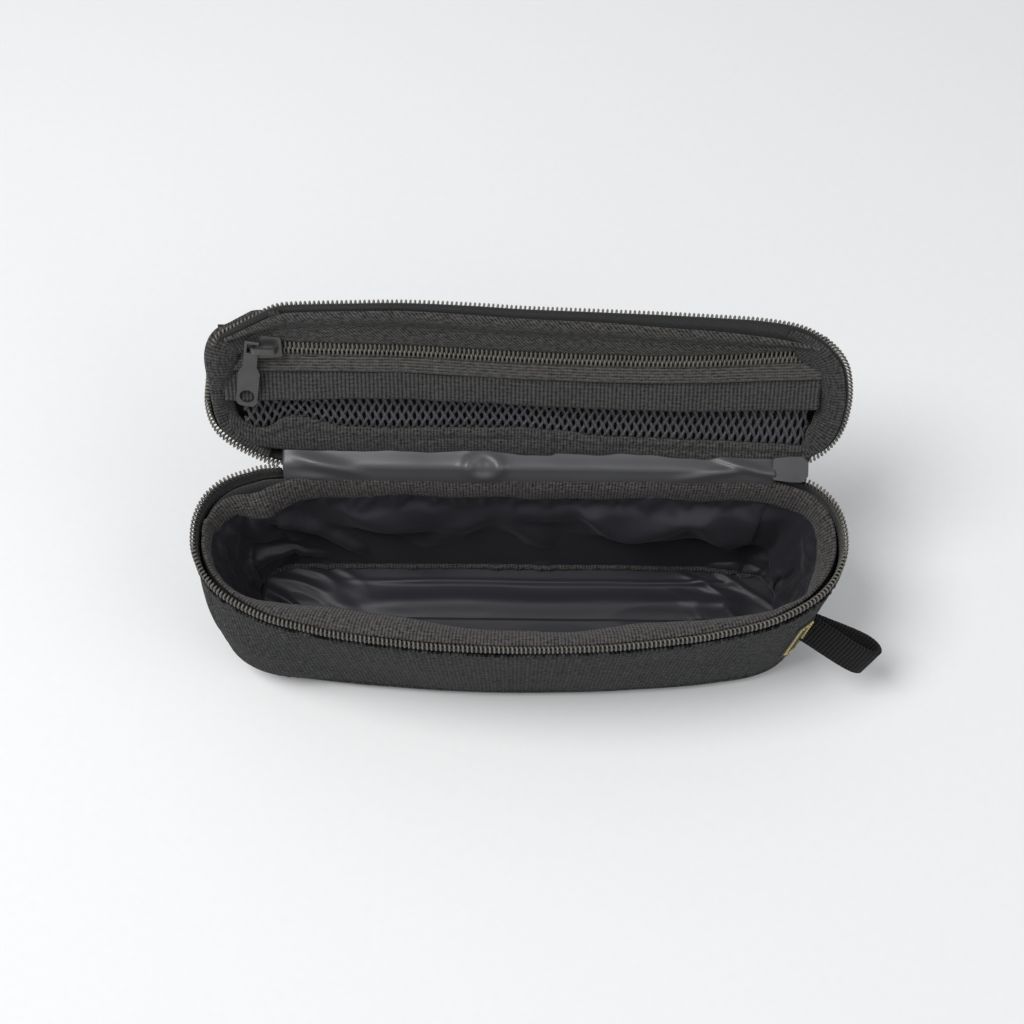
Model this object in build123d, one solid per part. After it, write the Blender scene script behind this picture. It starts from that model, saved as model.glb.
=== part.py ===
from build123d import *
import math
import os

# Mouth outline, measured to the middle of the zipper chain, in millimetres
mouth_half_length = 106.0
mouth_back = 27.5
mouth_corner = -26.0
mouth_bulge = 10.5
mouth_front_radius = 28.0
mouth_back_radius = 22.0
rim_height = 59.5

# Foot outline of the tub
foot_half_length = 96.5
foot_back = 21.0
foot_corner = -21.0
foot_bulge = 6.5
foot_front_radius = 21.0
foot_back_radius = 16.0
foot_edge_radius = 6.0

# Top outline of the lid and its depth from the chain to the outer face
crown_half_length = 102.0
crown_back = 24.0
crown_corner = -22.5
crown_bulge = 10.0
crown_front_radius = 25.0
crown_back_radius = 19.0
crown_edge_radius = 6.0
lid_depth = 14.0

# Cloth layers, from the outside in
cloth = 0.9
padding = 2.4
lining = 0.5
base_padding = 3.0
lid_padding = 1.6
ribbon = 1.5
seam_gap = 0.3

# Zipper tape and coil, number five size
tape = 0.6
tape_width = 8.4
coil_pitch = 1.41
coil_width = 2.6
coil_thickness = 2.2
tooth_depth = 1.2
tooth_reach = 0.45
tooth_crest = 0.2
main_left_end = 28.0 - mouth_half_length
main_right_end = mouth_half_length - 9.5
shell_setback = 5.0

# Lid swing from shut to the way it leans
open_angle = 112.5

# Rim ribbon of the tub and bound seam round its floor
rim_ribbon_drop = 2.8
rim_ribbon_width = 9.2
floor_seam_height = 3.6
floor_seam_width = 1.6
panel_seam_y = -13.0
foot_seam_height = 6.5

# Pocket sewn across the lid, distances from the hinge side chain
pocket_recess = 3.4
pocket_line = 44.5
pocket_left = 8.0 - crown_half_length
pocket_right = crown_half_length - 7.5
pocket_chain_left = pocket_left + 12.4
header_edge = 49.2
band_top = 39.4
band_width = 14.0
grosgrain = 0.9
mesh_top = 27.0
mesh_foot = 7.0
mesh_thickness = 0.8
hem_foot = 5.4
hem_width = 9.1
net_columns = 47
net_rows = 3
net_strand = 1.3
net_left_margin = 2.0

# Sliders
slider_length = 11.4
slider_wide = 8.4
slider_narrow = 7.2
slider_corner = 1.9
slider_edge_radius = 0.8
plate = 1.0
slider_running_gap = 0.3
flange = 0.7
wedge_width = 2.2
wedge_length = 3.4
bail_width = 2.0
bail_thickness = 1.0
bail_end = 4.1
bail_tail = -4.6
main_slider_x = mouth_half_length - 16.1
main_slider_y = 26.4
main_slider_turn = -12.0
slider_room = 7.6
slider_room_side = 0.9
pocket_slider_x = pocket_chain_left + 0.6

# Pull tabs
pull_length = 24.0
pull_width = 6.8
pull_thickness = 1.4
pull_eye = 2.8
pull_arm = 0.8
pull_neck = 8.5
pull_shoulder = 2.4
pull_end_radius = 2.2
pull_hole_radius = 2.4
pull_lean = 10.0

# Webbing loop at the right front corner
loop_webbing = 1.3
loop_width = 11.0
loop_length = 24.0
loop_bight = 3.8
loop_sewn = 4.0
loop_x = mouth_half_length - 7.4
loop_y = -16.6
loop_z = 31.0
loop_heading = -21.0
loop_droop = 20.0

# Plain sewn patch on the right front corner
patch_width = 10.0
patch_height = 24.0
patch_thickness = 0.8
patch_z = 30.0
patch_x = mouth_half_length - 15.5

shell_face = tape / 2 + cloth
hinge_y = mouth_back + shell_face
hinge_line = Axis((0, hinge_y, rim_height), (1, 0, 0))
inner_face = -tape / 2 - padding
bare_face = inner_face - lining
lid_inner = -tape / 2 - lid_padding
lid_bare = lid_inner - lining
bar_height = coil_thickness / 2 + slider_running_gap + plate + seam_gap + pull_thickness / 2
plate_top = coil_thickness / 2 + slider_running_gap + plate
parts = {}


# A rounded outline whose front edge bows outward, grown evenly by a margin
def bowed_outline(half_length, back, corner, bulge, front_radius, back_radius, grow):
    sweep = (half_length**2 + bulge**2) / (2 * bulge) + grow
    centre = corner - bulge + sweep - grow
    reach = half_length + grow
    front = centre - math.sqrt(sweep**2 - reach**2)
    sides = Polyline((-reach, front), (-reach, back + grow), (reach, back + grow), (reach, front))
    bow = ThreePointArc((reach, front), (0, centre - sweep), (-reach, front))
    face = make_face(sides.edges() + bow.edges())
    face = fillet(face.vertices().sort_by(Axis.Y)[2:], back_radius + grow)
    return fillet(face.vertices().sort_by(Axis.Y)[:2], front_radius + grow)


def mouth_outline(grow):
    return bowed_outline(
        mouth_half_length,
        mouth_back,
        mouth_corner,
        mouth_bulge,
        mouth_front_radius,
        mouth_back_radius,
        grow,
    )


def foot_outline(grow):
    return bowed_outline(
        foot_half_length,
        foot_back,
        foot_corner,
        foot_bulge,
        foot_front_radius,
        foot_back_radius,
        grow,
    )


def crown_outline(grow):
    return bowed_outline(
        crown_half_length,
        crown_back,
        crown_corner,
        crown_bulge,
        crown_front_radius,
        crown_back_radius,
        grow,
    )


# Solid space inside one cloth layer of the tub, from its floor up to the chain
def tub_form(grow):
    low = shell_face - grow
    foot = Pos(0, 0, low) * foot_outline(grow)
    mouth = Pos(0, 0, rim_height) * mouth_outline(grow)
    solid = loft([foot, mouth], ruled=True)
    edges = solid.faces().sort_by(Axis.Z)[0].edges()
    radius = foot_edge_radius - low
    return fillet(edges, radius) if radius > 0.2 else solid


# Solid space inside one cloth layer of the shut lid, from the chain up to its top
def lid_form(grow):
    high = rim_height + lid_depth - shell_face + grow
    mouth = Pos(0, 0, rim_height) * mouth_outline(grow)
    crown = Pos(0, 0, high) * crown_outline(grow)
    solid = loft([mouth, crown], ruled=True)
    edges = solid.faces().sort_by(Axis.Z)[-1].edges()
    return fillet(edges, crown_edge_radius - shell_face + grow)


def slab(low, high):
    return Pos(0, 0, (low + high) / 2) * Box(400, 400, high - low)


def block(x0, x1, y0, y1, z0, z1):
    return Pos((x0 + x1) / 2, (y0 + y1) / 2, (z0 + z1) / 2) * Box(x1 - x0, y1 - y0, z1 - z0)


# Space kept clear of cloth where the main slider parks and turns
def slider_space():
    left = main_slider_x - slider_length / 2 - slider_room_side
    right = main_right_end
    return Pos((left + right) / 2, hinge_y, rim_height) * Rot(0, 90, 0) * Cylinder(slider_room, right - left)


# The stretch of hinge side wall between the two chain ends
def spine_space(low, high):
    return block(main_left_end, main_right_end, mouth_back - 8, mouth_back + 8, low, high)


def opened(shape):
    return shape.rotate(hinge_line, -open_angle)


def keep(name, shape):
    solids = shape.solids()
    if len(solids) == 1:
        parts[name] = solids[0]
    else:
        parts[name] = Compound(children=list(solids))


# Outer cloth, padding and lining of the tub
def make_tub_shell():
    top = rim_height - shell_setback
    outside = tub_form(shell_face)
    behind_cloth = tub_form(tape / 2)
    behind_padding = tub_form(inner_face)
    bare = tub_form(bare_face)
    room = slider_space()
    cloth_wall = outside - behind_cloth
    side_band = cloth_wall & slab(foot_seam_height, top)
    front_room = block(-200, 200, -200, panel_seam_y, 0, top)
    keep("tub_front_panel", side_band & front_room)
    keep("tub_back_panel", side_band - front_room - room)
    keep("tub_base_panel", cloth_wall & slab(-1, foot_seam_height))
    floor = shell_face - tape / 2
    core = (behind_cloth - behind_padding) & slab(floor + base_padding, top)
    tape_space = tub_layer_cut()
    keep("tub_wall_padding", core - tape_space - room)
    keep("tub_base_padding", behind_cloth & slab(floor, floor + base_padding))
    inside = floor + base_padding + lining
    skin = (behind_padding - bare) & slab(inside, top)
    keep("tub_lining_wall", skin - room)
    keep("tub_lining_base", behind_padding & slab(inside - lining, inside))


def tub_layer_cut():
    ring = tub_form(tape / 2) - tub_form(-tape / 2)
    return ring & slab(rim_height - coil_width - tape_width, rim_height)


def make_tub_ribbons():
    bare = tub_form(bare_face)
    inner = tub_form(bare_face - ribbon)
    high = rim_height - rim_ribbon_drop
    ring = (bare - inner) & slab(high - rim_ribbon_width, high)
    keep("tub_rim_ribbon", ring - slider_space())
    low = shell_face - tape / 2 + base_padding + lining
    narrow = extrude(foot_outline(bare_face - floor_seam_width), rim_height)
    keep("tub_floor_seam", (bare & slab(low, low + floor_seam_height)) - narrow)


def make_main_tape_lower():
    ring = tub_layer_cut() & slab(0, rim_height - coil_width)
    ring = ring - spine_space(0, rim_height)
    keep("main_tape_lower", ring)


def make_main_tape_upper():
    high = rim_height + coil_width + lid_tape_width()
    ring = (lid_form(tape / 2) - lid_form(-tape / 2)) & slab(rim_height + coil_width, high)
    ring = ring - spine_space(rim_height, high)
    keep("main_tape_upper", opened(ring))


def lid_tape_width():
    return min(tape_width, lid_depth - crown_edge_radius - coil_width)


# Points spaced evenly by the coil pitch along the chain, from end to end round the front
def chain_stations():
    wire = mouth_outline(0).wire()
    steps = 4000
    spots = [wire.position_at(i / steps) for i in range(steps)]
    rear = [i for i in range(steps) if spots[i].Y > mouth_back - 8]
    first = min(rear, key=lambda i: abs(spots[i].X - main_left_end) - spots[i].Y)
    last = min(rear, key=lambda i: abs(spots[i].X - main_right_end))
    way = -1 if spots[(first + 5) % steps].X > spots[first].X else 1
    run = ((last - first) * way) % steps
    length = wire.length * run / steps
    count = int(length / (coil_pitch / 2))
    stations = []
    for k in range(-2, count + 3):
        place = (first / steps + way * k * coil_pitch / 2 / wire.length) % 1
        stations.append((wire.position_at(place), wire.tangent_at(place)))
    return stations


# One wedge shaped gap between two teeth, opening upward, across the chain
def tooth_gap():
    half = (coil_pitch - tooth_crest) / 2
    over = 0.1
    wide = half * (tooth_depth + over) / tooth_depth
    top = tooth_reach + over
    outline = Polyline((-wide, top), (0, tooth_reach - tooth_depth), (wide, top), close=True)
    face = Plane.XZ * make_face(outline)
    return extrude(face, coil_thickness, both=True)


def chain_ring():
    return mouth_outline(coil_thickness / 2) - mouth_outline(-coil_thickness / 2)


# Both halves of the zipper coil, the upper one shifted by half a tooth so that they mesh
def make_main_chains():
    gap = tooth_gap()
    low = rim_height - coil_width
    rail = Pos(0, 0, low) * extrude(chain_ring(), coil_width + tooth_reach)
    rail = rail - spine_space(0, 2 * rim_height)
    gaps = []
    for spot, way in chain_stations():
        turn = math.degrees(math.atan2(way.Y, way.X))
        gaps.append(Pos(spot.X, spot.Y, rim_height) * Rot(0, 0, turn) * gap)
    keep("main_chain_lower", rail - gaps[0::2])
    mirrored = (rail - gaps[1::2]).mirror(Plane.XY.offset(rim_height))
    keep("main_chain_upper", opened(mirrored))


# Cloth hinge strip and its satin lining, bent at the way the lid leans
def across_hinge(y, z):
    turn = math.radians(-open_angle)
    back = y - hinge_y
    up = rim_height - z
    return (
        hinge_y + back * math.cos(turn) - up * math.sin(turn),
        rim_height + back * math.sin(turn) + up * math.cos(turn),
    )


# The hinge side wall's place at a height, for a cloth layer grown by a margin
def back_wall(grow, height):
    low = shell_face - grow
    share = (height - low) / (rim_height - low)
    return foot_back + (mouth_back - foot_back) * share + grow


def make_spine():
    left = main_left_end + seam_gap
    right = main_slider_x - slider_length / 2 - slider_room_side - seam_gap
    low = rim_height - shell_setback
    below = low - 1
    ends = slab(low, 2 * rim_height) - opened(slab(rim_height + shell_setback - seam_gap, 3 * rim_height))
    middle = (back_wall(shell_face, low) + back_wall(tape / 2, low)) / 2
    bend = (hinge_y - cloth, rim_height - seam_gap)
    points = [(middle, below), bend, across_hinge(middle, below)]
    keep("spine_panel", strip_along_x(points, 1.2, cloth, left, right) & ends)
    middle = (back_wall(inner_face, low) + back_wall(bare_face, low)) / 2
    lean = math.radians(open_angle / 2)
    rise = hinge_y - middle
    peak = (hinge_y - rise * math.sin(lean), rim_height + rise * math.cos(lean))
    points = [(middle, below), peak, across_hinge(middle, below)]
    keep("spine_lining", strip_along_x(points, 2.4, lining, left, right) & ends)


def strip_along_x(points, radius, thickness, left, right):
    flat = [(y, z) for y, z in points]
    outer = FilletPolyline(*shifted(flat, thickness / 2), radius=radius + thickness / 2)
    inner = FilletPolyline(*shifted(flat, -thickness / 2), radius=radius - thickness / 2)
    ends = [Line(outer @ 0, inner @ 0), Line(outer @ 1, inner @ 1)]
    face = make_face(outer.edges() + inner.edges() + [ends[0].edge(), ends[1].edge()])
    return Pos(left, 0, 0) * extrude(Plane.YZ * face, right - left)


# A bent line of three points moved sideways by a distance
def shifted(points, distance):
    (ay, az), (by, bz), (cy, cz) = points
    first = math.atan2(bz - az, by - ay)
    second = math.atan2(cz - bz, cy - by)
    mid = (first + second) / 2
    reach = distance / math.cos((second - first) / 2)
    return [
        (ay - distance * math.sin(first), az + distance * math.cos(first)),
        (by - reach * math.sin(mid), bz + reach * math.cos(mid)),
        (cy - distance * math.sin(second), cz + distance * math.cos(second)),
    ]


def make_lid_shell():
    low = rim_height + shell_setback
    seam = rim_height + lid_depth - crown_edge_radius
    outside = lid_form(shell_face)
    behind_cloth = lid_form(tape / 2)
    behind_padding = lid_form(lid_inner)
    bare = lid_form(lid_bare)
    room = slider_space()
    cloth_wall = outside - behind_cloth
    keep("lid_side_band", opened((cloth_wall & slab(low, seam)) - room))
    keep("lid_top_panel", opened(cloth_wall & slab(seam, seam + 2 * lid_depth)))
    high = rim_height + coil_width + lid_tape_width()
    tape_space = (behind_cloth - lid_form(-tape / 2)) & slab(rim_height, high)
    core = (behind_cloth - behind_padding) & slab(low, seam + 2 * lid_depth)
    keep("lid_padding", opened(core - tape_space - room))
    skin = (behind_padding - bare) & slab(low, seam + 2 * lid_depth)
    keep("lid_lining", opened(skin - room))


# A flat piece of the pocket between two distances from the hinge side chain
def pocket_piece(near, far, left, right, front, thickness):
    plan = mouth_outline(lid_bare - seam_gap)
    sheet = Pos(0, 0, rim_height + front) * extrude(plan, thickness)
    return sheet & block(left, right, mouth_back - far, mouth_back - near, 0, 400)


def make_pocket_cloth():
    behind = pocket_recess - tape / 2
    front = behind - grosgrain
    edge = 2 * mouth_half_length
    header = pocket_piece(header_edge, edge, pocket_left, pocket_right, front, grosgrain)
    keep("pocket_header", opened(header))
    top = pocket_line + coil_width
    width = tape_width - coil_width
    upper = pocket_piece(top, top + width, pocket_left, pocket_right, behind, tape)
    keep("pocket_tape_upper", opened(upper))
    foot = pocket_line - coil_width
    lower = pocket_piece(foot - width, foot, pocket_left, pocket_right, behind, tape)
    keep("pocket_tape_lower", opened(lower))
    band = pocket_piece(band_top - band_width, band_top, pocket_left, pocket_right, front, grosgrain)
    keep("pocket_band", opened(band))
    keep("pocket_mesh", opened(make_net(behind)))
    hem = pocket_piece(hem_foot, hem_foot + hem_width, pocket_left, pocket_right, front, grosgrain)
    keep("pocket_hem_ribbon", opened(hem))
    depth = grosgrain + mesh_thickness
    left_piece = pocket_piece(hem_foot, edge, -edge, pocket_left, front, depth)
    keep("pocket_end_ribbon_left", opened(left_piece))
    right_piece = pocket_piece(hem_foot, edge, pocket_right, edge, front, depth)
    keep("pocket_end_ribbon_right", opened(right_piece))


# Open net between the grosgrain band and the hem, one holed sheet
def make_net(front):
    sheet = pocket_piece(mesh_foot, mesh_top, pocket_left, pocket_right, front, mesh_thickness)
    low = hem_foot + hem_width
    high = band_top - band_width
    column = (pocket_right - pocket_left - 2 * net_left_margin) / net_columns
    row = (high - low) / net_rows
    hole = Box(column - net_strand, row - net_strand, 4 * mesh_thickness)
    holes = []
    for i in range(net_columns):
        for j in range(net_rows):
            x = pocket_left + net_left_margin + (i + 0.5) * column
            y = mouth_back - low - (j + 0.5) * row
            holes.append(Pos(x, y, rim_height + front) * hole)
    return sheet - holes


# Straight row of teeth pointing to +Y, starting on a crest or on a gap
def tooth_row(left, right, gap_first):
    half = (coil_pitch - tooth_crest) / 2
    count = int((right - left) / coil_pitch)
    end = left + count * coil_pitch
    root = tooth_reach - tooth_depth
    points = [(left, -coil_width)]
    if gap_first:
        points += [(left, root), (left + half, tooth_reach)]
    else:
        points += [(left, tooth_reach)]
    for k in range(count - 1 if gap_first else count):
        middle = left + (k + (1 if gap_first else 0.5)) * coil_pitch
        points += [(middle - half, tooth_reach), (middle, root), (middle + half, tooth_reach)]
    if gap_first:
        points += [(end - half, tooth_reach), (end, root)]
    else:
        points += [(end, tooth_reach)]
    points.append((end, -coil_width))
    return extrude(make_face(Polyline(*points, close=True)), coil_thickness / 2, both=True)


def make_pocket_chains():
    place = Pos(0, mouth_back - pocket_line, rim_height + pocket_recess)
    lower = tooth_row(pocket_chain_left, pocket_right - seam_gap, False)
    upper = tooth_row(pocket_chain_left, pocket_right - seam_gap, True).mirror(Plane.XZ)
    keep("pocket_chain_upper", opened(place * upper))
    keep("pocket_chain_lower", opened(place * lower))


# Slider body: two plates, side flanges with a slot for the tape, a wedge and a bail
def make_slider():
    half = slider_length / 2
    wide = slider_wide / 2
    narrow = slider_narrow / 2
    corners = [
        (-half, -narrow),
        (0, -wide),
        (half - slider_corner, -wide),
        (half, slider_corner - wide),
        (half, wide - slider_corner),
        (half - slider_corner, wide),
        (0, wide),
        (-half, narrow),
    ]
    outline = make_face(Polyline(*corners, close=True))
    outline = fillet(outline.vertices(), slider_edge_radius)
    channel = [
        (-2 * half, flange - narrow),
        (-half, flange - narrow),
        (0, flange - wide),
        (2 * half, flange - wide),
        (2 * half, wide - flange),
        (0, wide - flange),
        (-half, narrow - flange),
        (-2 * half, narrow - flange),
    ]
    room = coil_thickness / 2 + slider_running_gap
    slot = tape / 2 + slider_running_gap
    full = extrude(outline, plate_top, both=True)
    hollow = extrude(make_face(Polyline(*channel, close=True)), room, both=True)
    tape_slot = Box(4 * half, 4 * wide, 2 * slot)
    tip = half - wedge_length
    heel = half - seam_gap
    wedge_outline = Polyline((tip, 0), (heel, wedge_width / 2), (heel, -wedge_width / 2), close=True)
    wedge = extrude(make_face(wedge_outline), room, both=True)
    return full - hollow - tape_slot + wedge + make_bail()


# Arched bail on the outer plate, its corner at the wide end rounded about the pull's bar
def make_bail():
    inner = pull_thickness / 2 + seam_gap
    high = bar_height + inner
    outer = bail_arch(bail_tail, bail_end, high + bail_thickness, inner + bail_thickness)
    hole = bail_arch(bail_tail + bail_thickness, bail_end - bail_thickness, high, inner)
    return extrude(Plane.XZ * (outer - hole), bail_width / 2, both=True)


# A block rising from just inside the plate, its two top corners rounded
def bail_arch(tail, end, top, radius):
    foot = plate_top - 0.2
    face = make_face(Polyline((tail, foot), (tail, top), (end, top), (end, foot), close=True))
    return fillet(face.vertices().sort_by(Axis.Y)[2:], radius)


# Pull tab with a square eye, a round bar, a narrow neck and a holed end, lying along +X
def make_pull():
    head = pull_eye / 2 + pull_arm
    half = pull_width / 2
    shoulder = pull_neck + pull_shoulder
    corners = [
        (0, -head),
        (pull_neck, -head),
        (shoulder, -half),
        (pull_length, -half),
        (pull_length, half),
        (shoulder, half),
        (pull_neck, head),
        (0, head),
    ]
    face = make_face(Polyline(*corners, close=True))
    face = fillet(face.vertices().sort_by(Axis.X)[-2:], pull_end_radius)
    hole_x = pull_length - half - 0.4
    face = face - Pos(hole_x, 0) * Circle(pull_hole_radius)
    body = extrude(face, pull_thickness / 2, both=True)
    eye_end = pull_thickness / 2 + pull_eye
    body = body - block(-1, eye_end, -pull_eye / 2, pull_eye / 2, -2, 2)
    bar = Rot(90, 0, 0) * Cylinder(pull_thickness / 2, 2 * head)
    return body + bar


def make_sliders():
    slider = make_slider()
    pull = make_pull()
    leg = bail_end - bail_thickness / 2
    eye_middle = pull_thickness / 2 + pull_eye / 2
    pocket_place = Pos(pocket_slider_x, mouth_back - pocket_line, rim_height + pocket_recess) * Rot(0, 180, 0)
    keep("pocket_slider_body", opened(pocket_place * slider))
    swung = Pos(leg, 0, bar_height) * Rot(0, 0, 90 - pull_lean) * Pos(-eye_middle, 0, 0) * pull
    keep("pocket_pull_tab", opened(pocket_place * swung))
    main_place = Pos(main_slider_x, main_slider_y, rim_height) * Rot(0, 0, main_slider_turn) * Rot(-90, 0, 0)
    half_way = -open_angle / 2
    keep("main_slider_body", (main_place * slider).rotate(hinge_line, half_way))
    bar_x = bail_end - bail_thickness - pull_thickness / 2 - seam_gap
    hung = Pos(bar_x, 0, bar_height) * Rot(0, -90, 0) * pull
    keep("main_pull_tab", (main_place * hung).rotate(hinge_line, half_way))


# Folded webbing loop sewn into the front right seam, its two legs apart at the bight
def make_loop():
    outer_radius = loop_bight / 2 + loop_webbing
    middle = loop_length - outer_radius
    root = Pos(loop_sewn / 2, 0) * Rectangle(loop_sewn, 2 * loop_webbing)
    tip = Pos(middle, 0) * Circle(outer_radius)
    outside = make_hull(root.edges() + tip.edges())
    point = Pos(loop_sewn, 0) * Rectangle(0.2, 0.2)
    bight = Pos(middle, 0) * Circle(loop_bight / 2)
    inside = make_hull(point.edges() + bight.edges())
    band = extrude(outside - inside, loop_width / 2, both=True)
    place = Pos(loop_x, loop_y, loop_z) * Rot(0, 0, loop_heading) * Rot(0, loop_droop, 0)
    front_half = block(-50, 50, -50, 0, -50, 50)
    tub = tub_form(shell_face)
    keep("loop_front_leg", place * (band & front_half) - tub)
    keep("loop_rear_leg", place * (band - front_half) - tub)


def make_patch():
    ring = tub_form(shell_face + patch_thickness) - tub_form(shell_face)
    window = block(
        patch_x - patch_width / 2,
        patch_x + patch_width / 2,
        -200,
        panel_seam_y,
        patch_z - patch_height / 2,
        patch_z + patch_height / 2,
    )
    keep("corner_patch", ring & window)


make_tub_shell()
make_tub_ribbons()
make_main_tape_lower()
make_main_tape_upper()
make_main_chains()
make_spine()
make_lid_shell()
make_pocket_cloth()
make_pocket_chains()
make_sliders()
make_loop()
make_patch()

os.makedirs("parts", exist_ok=True)
for name, shape in parts.items():
    shape.label = name
    export_step(shape, "parts/" + name + ".step")
    print(name, round(shape.volume, 1))
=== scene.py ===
import math

import bpy
import numpy as np
from mathutils import Matrix, Vector, noise


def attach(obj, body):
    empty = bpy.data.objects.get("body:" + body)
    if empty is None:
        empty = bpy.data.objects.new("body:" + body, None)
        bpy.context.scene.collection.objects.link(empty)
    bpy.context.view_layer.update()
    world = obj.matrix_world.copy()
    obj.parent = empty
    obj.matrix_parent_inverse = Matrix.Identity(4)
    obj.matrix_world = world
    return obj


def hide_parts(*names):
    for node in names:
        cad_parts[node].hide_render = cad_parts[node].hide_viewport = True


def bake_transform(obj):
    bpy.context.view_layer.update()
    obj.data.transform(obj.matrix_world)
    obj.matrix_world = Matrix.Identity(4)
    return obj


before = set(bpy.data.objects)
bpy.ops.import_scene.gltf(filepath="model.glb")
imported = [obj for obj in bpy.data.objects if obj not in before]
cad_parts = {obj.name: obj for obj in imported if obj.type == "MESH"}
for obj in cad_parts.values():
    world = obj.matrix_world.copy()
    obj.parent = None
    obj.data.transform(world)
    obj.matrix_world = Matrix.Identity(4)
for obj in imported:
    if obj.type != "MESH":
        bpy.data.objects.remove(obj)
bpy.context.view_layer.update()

# Sizes in mm. The hinge line lies at HINGE_Y and RIM, and the open lid leans back from upright by LEAN
RIM = 59.5
HINGE_Y = 28.7
LEAN = math.radians(22.5)
PITCH = 1.41
COIL_HALF_DEPTH = 0.74
WALL_GIRTH = 530.0
FOOT_ROUND = 6.0
LINING_LEAST_DEPTH = 3.3
FLOOR_Z = 4.7
CHAIN_Z = 58.3
CHAIN_BACK = 1.2
LID_DEPTH = 11.6
# Points round an outline, and the factor that turns mm into Blender's metres
AROUND = 480
MM = 0.001


# Curves
def unit(vectors):
    """Rows of vectors brought to length one."""
    return vectors / np.linalg.norm(vectors, axis=1)[:, None]


def run_along(line):
    """Distance along a line at each of its points."""
    return np.r_[0, np.cumsum(np.linalg.norm(np.diff(line, axis=0), axis=1))]


def read_off(at, run, values):
    """Values that are known at the distances run, read off at others."""
    return np.stack([np.interp(at, run, values[:, j]) for j in range(values.shape[1])], 1)


def smooth_line(points, count, closed=False):
    """Even points along a Catmull-Rom curve through the given points."""
    p = np.array(points, float)
    k = len(p)
    spans = k if closed else k - 1
    fine = []
    for i in range(spans):
        if closed:
            a, b, c, d = p[(i - 1) % k], p[i], p[(i + 1) % k], p[(i + 2) % k]
        else:
            b, c = p[i], p[i + 1]
            a = p[i - 1] if i else 2 * b - c
            d = p[i + 2] if i + 2 < k else 2 * c - b
        t = np.linspace(0, 1, 24, endpoint=False)[:, None]
        square = (2 * a - 5 * b + 4 * c - d) * t**2
        cube = (3 * b - a - 3 * c + d) * t**3
        fine.append(0.5 * (2 * b + (c - a) * t + square + cube))
    fine = np.vstack(fine + [p[:1] if closed else p[-1:]])
    run = run_along(fine)
    return read_off(np.linspace(0, run[-1], count, endpoint=not closed), run, fine)


def outward(loop):
    """Outward normals of a closed plan outline that runs clockwise seen from above."""
    d = np.roll(loop, -1, 0) - np.roll(loop, 1, 0)
    return unit(np.stack([-d[:, 1], d[:, 0]], 1))


def wave(x, y, scale, seed=0.0):
    """Smooth repeatable noise, one value for each pair."""
    x, y = np.broadcast_arrays(np.asarray(x, float), np.asarray(y, float))
    flat = [noise.noise(Vector((a / scale, b / scale, seed))) for a, b in zip(x.ravel(), y.ravel())]
    return np.array(flat).reshape(x.shape)


def creases(x, y, scale, seed=0.0):
    """Ridged noise: narrow soft folds between smooth hollows."""
    return 1 - np.abs(wave(x, y, scale, seed)) * 2.6


def ease(value, low, high):
    """A smooth step from 0 at low to 1 at high."""
    t = np.clip((value - low) / (high - low), 0, 1)
    return t * t * (3 - 2 * t)


def bell(off, width):
    """A soft hump, 1 where off is nought and all but gone at two widths."""
    return np.exp(-((off / width) ** 2))


def lid(x, s, h):
    """A point of the lid: x, distance from the hinge line, and height behind the chain, in mm."""
    x, s, h = np.broadcast_arrays(*(np.asarray(v, float) for v in (x, s, h)))
    y = HINGE_Y + s * math.sin(LEAN) + h * math.cos(LEAN)
    z = RIM + s * math.cos(LEAN) - h * math.sin(LEAN)
    return np.stack([x, y, z], -1)


# Right halves of the tub's rim and foot in plan, from the front middle round to the back
right_side = [
    (0, -37), (25, -36.2), (41, -34.6), (57, -32.4), (66, -30.4), (79, -27), (89, -22.3), (96, -17.5),
    (101, -12), (104.3, -6), (106, 0), (106.2, 8), (104.3, 15), (101, 20), (96.5, 23.6), (90, 26.2),
    (83, 27.9), (60, 28.4), (30, 28.5),
]
foot_side = [
    (0, -28.6), (25, -28.0), (41, -27.0), (58, -25.8), (70, -24.3), (79, -23.0), (86, -20.6), (91, -17.2),
    (94.4, -12.5), (96, -7), (96.4, 0), (96.0, 7), (94, 13), (90, 17.6), (84, 20.2), (76, 21.0),
    (60, 21.1), (30, 21.2),
]
# Rim of the open lid, x and distance from the hinge, clockwise from the hinge middle
lid_rim = [
    (0, 0.6), (30, 0.8), (60, 0.8), (84, 0.8), (93, 1.6), (96.6, 3.4), (100.6, 7.2), (103.7, 12.5),
    (105.3, 19), (105.6, 27), (104.7, 34), (102.5, 41), (98, 47), (92, 51.5), (84.9, 54.6), (74, 56.5),
    (61.4, 57.4), (44.3, 58.3), (24.2, 59.1), (0.5, 60), (-15, 61), (-35.2, 61.8), (-52, 61.5),
    (-68.8, 60.9), (-75.5, 60.0), (-82.5, 56.4), (-89.5, 52.4), (-93.9, 50.0), (-96.4, 46.2),
    (-98.1, 40.5), (-99.6, 33), (-101.0, 24.5), (-100.4, 17), (-98, 11.5), (-93, 6.5), (-86, 2),
    (-78.4, -1.2), (-66, -0.8), (-40, 0),
]


def both_sides(half):
    """A closed clockwise outline from the back middle, from one half's points, front middle first."""
    back = (0.0, half[-1][1])
    right = [back] + list(reversed(half))
    left = [(-x, y) for x, y in half[1:]]
    return right + left


mouth = smooth_line(both_sides(right_side), AROUND, True)
foot = smooth_line(both_sides(foot_side), AROUND, True)
mouth_out = outward(mouth)
mouth_x, mouth_y = mouth[:, 0], mouth[:, 1]


def run_between(wanted):
    """The one stretch of rows round an outline for which wanted holds, in order round it."""
    rows = np.where(wanted)[0]
    gaps = np.where(np.diff(rows) > 1)[0]
    first = rows[gaps[0] + 1] if len(gaps) else rows[0]
    return (first + np.arange(len(rows))) % AROUND


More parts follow.
